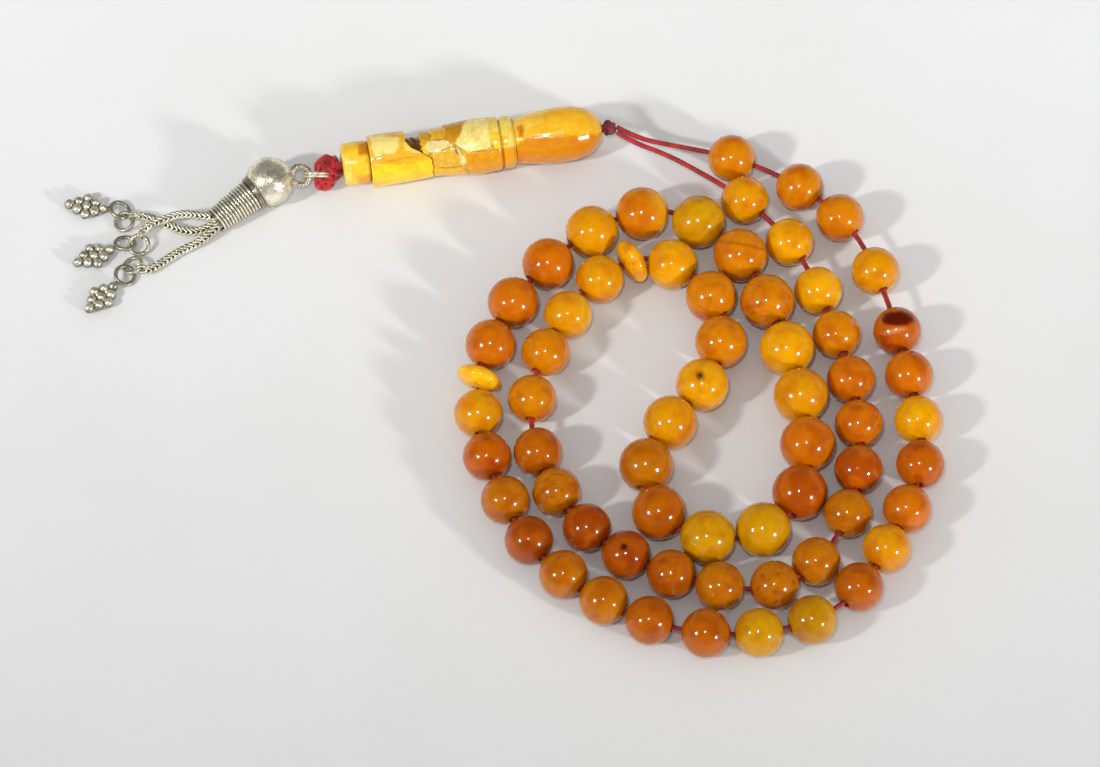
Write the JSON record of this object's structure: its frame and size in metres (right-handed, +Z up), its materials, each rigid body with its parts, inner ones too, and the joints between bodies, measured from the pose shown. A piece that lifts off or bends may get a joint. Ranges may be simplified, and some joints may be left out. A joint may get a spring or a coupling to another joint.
{
  "type": "misbaha prayer beads",
  "caption": "Strand of round amber beads with two flat separators, a long carved leader bead and a silver tassel of woven chains ending in grape charms, laid in a double loop.",
  "frame": {"origin": "middle of the outline of the beads, leader and tassel, on the surface they lie on", "axes": "+X from the tassel towards the loop, +Z up from the surface the strand lies on"},
  "size_m": [0.1991, 0.1407, 0.0128],
  "materials": {
    "amber_gold": "polished translucent amber",
    "amber_middle": "polished translucent amber",
    "amber_inner": "polished translucent amber",
    "amber_yellow": "polished translucent amber",
    "amber_carved": "polished carved amber",
    "amber_mosaic": "polished amber with pale patches and cracks",
    "cord_red": "waxed twisted cord",
    "silver": "worn silver, dark in the recesses",
    "silver_wire": "drawn silver wire, worn",
    "silver_chain": "woven silver chain, oxidised between the loops"
  },
  "bodies": {
    "strand": {"strand_cord": "cord_red", "middle_beads": "amber_middle", "inner_beads": "amber_inner"},
    "bead_01": {"bead_01": "amber_gold"},
    "bead_02": {"bead_02": "amber_gold"},
    "bead_03": {"bead_03": "amber_gold"},
    "bead_04": {"bead_04": "amber_gold"},
    "bead_05": {"bead_05": "amber_gold"},
    "bead_06": {"bead_06": "amber_gold"},
    "bead_07": {"bead_07": "amber_gold"},
    "bead_08": {"bead_08": "amber_gold"},
    "bead_09": {"bead_09": "amber_gold"},
    "bead_10": {"bead_10": "amber_gold"},
    "bead_11": {"bead_11": "amber_gold"},
    "bead_12": {"bead_12": "amber_gold"},
    "bead_13": {"bead_13": "amber_gold"},
    "bead_14": {"bead_14": "amber_gold"},
    "bead_15": {"bead_15": "amber_gold"},
    "bead_16": {"bead_16": "amber_gold"},
    "bead_17": {"bead_17": "amber_gold"},
    "bead_18": {"bead_18": "amber_gold"},
    "bead_19": {"bead_19": "amber_gold"},
    "bead_20": {"bead_20": "amber_gold"},
    "bead_21": {"bead_21": "amber_gold"},
    "bead_53": {"bead_53": "amber_gold"},
    "bead_54": {"bead_54": "amber_gold"},
    "bead_55": {"bead_55": "amber_gold"},
    "bead_56": {"bead_56": "amber_gold"},
    "bead_57": {"bead_57": "amber_gold"},
    "bead_58": {"bead_58": "amber_gold"},
    "bead_59": {"bead_59": "amber_gold"},
    "bead_60": {"bead_60": "amber_gold"},
    "bead_61": {"bead_61": "amber_gold"},
    "bead_62": {"bead_62": "amber_gold"},
    "disc_1": {"disc_1": "amber_yellow"},
    "disc_2": {"disc_2": "amber_yellow"},
    "leader": {"head_knot": "cord_red", "leader_cord": "cord_red", "tail_knot": "cord_red"},
    "imame": {"imame_foot": "amber_carved", "imame_sleeve": "amber_carved", "imame_barrel": "amber_mosaic", "imame_neck_ring": "amber_carved", "imame_bulb": "amber_carved"},
    "jump_ring": {"jump_ring": "silver_wire"},
    "tassel_head": {"tassel_eye": "silver", "silver_ball": "silver", "ball_collar": "silver", "ferrule_core": "silver", "ferrule_winding": "silver_wire", "tassel_pin": "silver_wire"},
    "chain_a": {"chain_a": "silver_chain"},
    "end_ring_a": {"end_ring_a": "silver_wire"},
    "charm_a": {"charm_a": "silver"},
    "chain_b": {"chain_b": "silver_chain"},
    "end_ring_b": {"end_ring_b": "silver_wire"},
    "charm_b": {"charm_b": "silver"},
    "chain_c": {"chain_c": "silver_chain"},
    "end_ring_c": {"end_ring_c": "silver_wire"},
    "charm_c": {"charm_c": "silver"}
  },
  "joints": [
    {"name": "bead_01_slide", "type": "slide", "parent": "strand", "child": "bead_01", "axis": [0.944, -0.3298, 0.0108], "range_m": [-0.0024, 0.0004]},
    {"name": "bead_02_slide", "type": "slide", "parent": "strand", "child": "bead_02", "axis": [0.8269, -0.5623, 0], "range_m": [-0.0024, 0.00045]},
    {"name": "bead_03_slide", "type": "slide", "parent": "strand", "child": "bead_03", "axis": [0.6385, -0.7696, 0], "range_m": [-0.00045, 0.0024]},
    {"name": "bead_04_slide", "type": "slide", "parent": "strand", "child": "bead_04", "axis": [0.3299, -0.944, 0], "range_m": [-0.0024, 0.0024]},
    {"name": "bead_05_slide", "type": "slide", "parent": "strand", "child": "bead_05", "axis": [0.2283, -0.9736, 0], "range_m": [-0.0024, 0.00025]},
    {"name": "bead_06_slide", "type": "slide", "parent": "strand", "child": "bead_06", "axis": [0.175, -0.9846, 0], "range_m": [-0.00025, 0.0003]},
    {"name": "bead_07_slide", "type": "slide", "parent": "strand", "child": "bead_07", "axis": [0.1072, -0.9942, 0], "range_m": [-0.0003, 0.0001]},
    {"name": "bead_08_slide", "type": "slide", "parent": "strand", "child": "bead_08", "axis": [-0.1036, -0.9946, 0], "range_m": [-0.0001, 0.00025]},
    {"name": "bead_09_slide", "type": "slide", "parent": "strand", "child": "bead_09", "axis": [-0.3964, -0.9181, 0], "range_m": [-0.00025, 0]},
    {"name": "bead_10_turn", "type": "hinge", "parent": "strand", "child": "bead_10", "pos_m": [0.08579, -0.04405, 0.0055], "axis": [-0.4728, -0.8812, 0], "continuous": true},
    {"name": "bead_11_slide", "type": "slide", "parent": "strand", "child": "bead_11", "axis": [-0.6247, -0.7809, 0], "range_m": [-0.0002, 0.00105]},
    {"name": "bead_12_slide", "type": "slide", "parent": "strand", "child": "bead_12", "axis": [-0.9156, -0.402, 0], "range_m": [-0.00105, 0.0005]},
    {"name": "bead_13_slide", "type": "slide", "parent": "strand", "child": "bead_13", "axis": [-0.9927, -0.1209, 0], "range_m": [-0.0005, 0.00025]},
    {"name": "bead_14_slide", "type": "slide", "parent": "strand", "child": "bead_14", "axis": [-0.9933, 0.1156, 0], "range_m": [-0.00025, 0.00075]},
    {"name": "bead_15_slide", "type": "slide", "parent": "strand", "child": "bead_15", "axis": [-0.9356, 0.3531, 0], "range_m": [-0.00075, 0]},
    {"name": "bead_16_turn", "type": "hinge", "parent": "strand", "child": "bead_16", "pos_m": [0.02318, -0.05719, 0.0055], "axis": [-0.8536, 0.5209, 0], "continuous": true},
    {"name": "bead_17_turn", "type": "hinge", "parent": "strand", "child": "bead_17", "pos_m": [0.01426, -0.05066, 0.0055], "axis": [-0.743, 0.6693, 0], "continuous": true},
    {"name": "bead_18_slide", "type": "slide", "parent": "strand", "child": "bead_18", "axis": [-0.5676, 0.8233, 0], "range_m": [-0.00015, 0.00015]},
    {"name": "bead_19_slide", "type": "slide", "parent": "strand", "child": "bead_19", "axis": [-0.3838, 0.9234, 0], "range_m": [-0.00015, 0.0003]},
    {"name": "bead_20_slide", "type": "slide", "parent": "strand", "child": "bead_20", "axis": [-0.2908, 0.9568, 0], "range_m": [-0.0003, 0]},
    {"name": "bead_21_slide", "type": "slide", "parent": "strand", "child": "bead_21", "axis": [-0.0687, 0.9976, 0.0003], "range_m": [0, 0.0005]},
    {"name": "bead_53_slide", "type": "slide", "parent": "strand", "child": "bead_53", "axis": [0.9532, 0.3023, 0], "range_m": [-0.00045, 0]},
    {"name": "bead_54_slide", "type": "slide", "parent": "strand", "child": "bead_54", "axis": [0.6969, 0.7172, 0], "range_m": [0, 0.0012]},
    {"name": "bead_55_slide", "type": "slide", "parent": "strand", "child": "bead_55", "axis": [0.356, 0.9345, 0], "range_m": [-0.00145, 0.00015]},
    {"name": "bead_56_slide", "type": "slide", "parent": "strand", "child": "bead_56", "axis": [0.1163, 0.9932, 0], "range_m": [-0.00015, 0.00025]},
    {"name": "bead_57_slide", "type": "slide", "parent": "strand", "child": "bead_57", "axis": [-0.0631, 0.998, 0], "range_m": [-0.00025, 0.0002]},
    {"name": "bead_58_slide", "type": "slide", "parent": "strand", "child": "bead_58", "axis": [-0.1909, 0.9816, 0], "range_m": [-0.0002, 0.00045]},
    {"name": "bead_59_slide", "type": "slide", "parent": "strand", "child": "bead_59", "axis": [-0.2865, 0.9581, 0], "range_m": [-0.00045, 0.00045]},
    {"name": "bead_60_slide", "type": "slide", "parent": "strand", "child": "bead_60", "axis": [-0.3609, 0.9326, 0], "range_m": [-0.00045, 0.00155]},
    {"name": "bead_61_slide", "type": "slide", "parent": "strand", "child": "bead_61", "axis": [-0.5612, 0.8277, 0], "range_m": [-0.00155, 0.0019]},
    {"name": "bead_62_slide", "type": "slide", "parent": "strand", "child": "bead_62", "axis": [-0.7499, 0.6615, -0.0079], "range_m": [-0.0019, 0.0002]},
    {"name": "disc_1_turn", "type": "hinge", "parent": "strand", "child": "disc_1", "pos_m": [-0.00456, -0.00071, 0.00554], "axis": [0.3531, 0.9097, 0.2183], "continuous": true},
    {"name": "disc_2_turn", "type": "hinge", "parent": "strand", "child": "disc_2", "pos_m": [0.02984, 0.02991, 0.00562], "axis": [-0.8377, -0.5459, -0.0158], "continuous": true},
    {"name": "leader_swing", "type": "hinge", "parent": "strand", "child": "leader", "pos_m": [0.02478, 0.06509, 0.00651], "axis": [0, 0, 1], "range_deg": [-40, 35]},
    {"name": "imame_turn", "type": "hinge", "parent": "leader", "child": "imame", "pos_m": [-0.0363, 0.0553, 0.00615], "axis": [0.9874, 0.1582, 0.0058], "continuous": true},
    {"name": "jump_ring_lift", "type": "hinge", "parent": "leader", "child": "jump_ring", "pos_m": [-0.0423, 0.0536, 0.0046], "axis": [0, 0.866, 0.5], "range_deg": [0, 60]},
    {"name": "tassel_swing", "type": "hinge", "parent": "jump_ring", "child": "tassel_head", "pos_m": [-0.04525, 0.0536, 0.0046], "axis": [0, 0, 1], "range_deg": [-20, 20]},
    {"name": "chain_a_swing", "type": "hinge", "parent": "tassel_head", "child": "chain_a", "pos_m": [-0.0676, 0.0429, 0.0041], "axis": [0, 0, 1], "range_deg": [-1.5, 1.5]},
    {"name": "end_ring_a_swing", "type": "hinge", "parent": "chain_a", "child": "end_ring_a", "pos_m": [-0.08185, 0.03888, 0.00208], "axis": [0, 0, 1], "range_deg": [-10, 10]},
    {"name": "charm_a_swing", "type": "hinge", "parent": "end_ring_a", "child": "charm_a", "pos_m": [-0.0824, 0.0369, 0.0013], "axis": [0, 0, 1], "range_deg": [-6, 6]},
    {"name": "chain_b_swing", "type": "hinge", "parent": "tassel_head", "child": "chain_b", "pos_m": [-0.0663, 0.0416, 0.0015], "axis": [0, 0, 1], "range_deg": [-3, 1]},
    {"name": "end_ring_b_swing", "type": "hinge", "parent": "chain_b", "child": "end_ring_b", "pos_m": [-0.08404, 0.04397, 0.00209], "axis": [0, 0, 1], "range_deg": [-10, 10]},
    {"name": "charm_b_swing", "type": "hinge", "parent": "end_ring_b", "child": "charm_b", "pos_m": [-0.0859, 0.0431, 0.0013], "axis": [0, 0, 1], "range_deg": [-6, 6]},
    {"name": "chain_c_swing", "type": "hinge", "parent": "tassel_head", "child": "chain_c", "pos_m": [-0.0652, 0.0399, 0.0027], "axis": [0, 0, 1], "range_deg": [-1, 6]},
    {"name": "end_ring_c_swing", "type": "hinge", "parent": "chain_c", "child": "end_ring_c", "pos_m": [-0.08185, 0.03051, 0.00209], "axis": [0, 0, 1], "range_deg": [-10, 10]},
    {"name": "charm_c_swing", "type": "hinge", "parent": "end_ring_c", "child": "charm_c", "pos_m": [-0.0837, 0.0314, 0.0013], "axis": [0, 0, 1], "range_deg": [-6, 6]}
  ]
}
